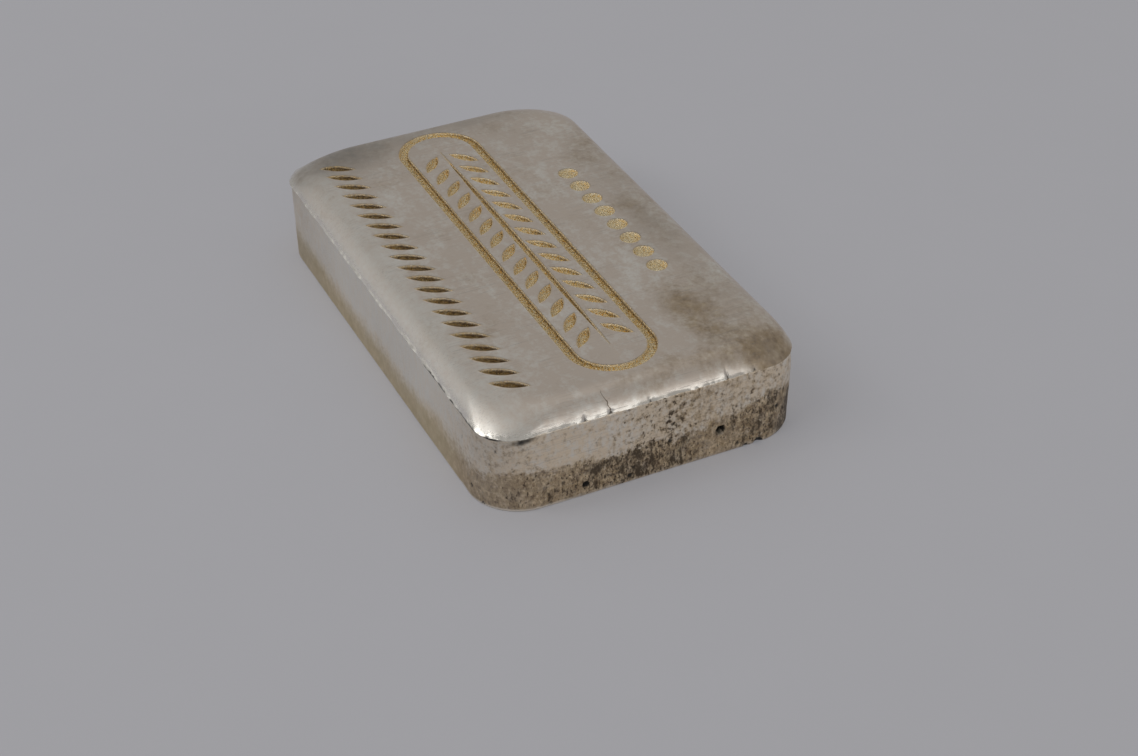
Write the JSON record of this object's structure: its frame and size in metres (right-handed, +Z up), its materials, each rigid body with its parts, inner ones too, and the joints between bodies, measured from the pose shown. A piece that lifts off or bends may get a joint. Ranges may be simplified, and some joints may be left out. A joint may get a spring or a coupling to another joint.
{
  "type": "silver bar",
  "caption": "Cast silver bar lying flat: drafted block with rounded corners, a rolled rim over a crease line, and a stamped round-ended border with leaf, rope and bead marks on top.",
  "frame": {"origin": "middle of the foot, on the surface that the bar lies on", "axes": "+X along the bar, +Y across it away from the rope row, +Z up through the stamped top"},
  "size_m": [0.0654, 0.0386, 0.0122],
  "materials": {
    "silver": "worn satin silver with brown tarnish low on its walls and golden toning in its stamped marks"
  },
  "bodies": {
    "root": {"silver_bar": "silver"}
  },
  "joints": []
}
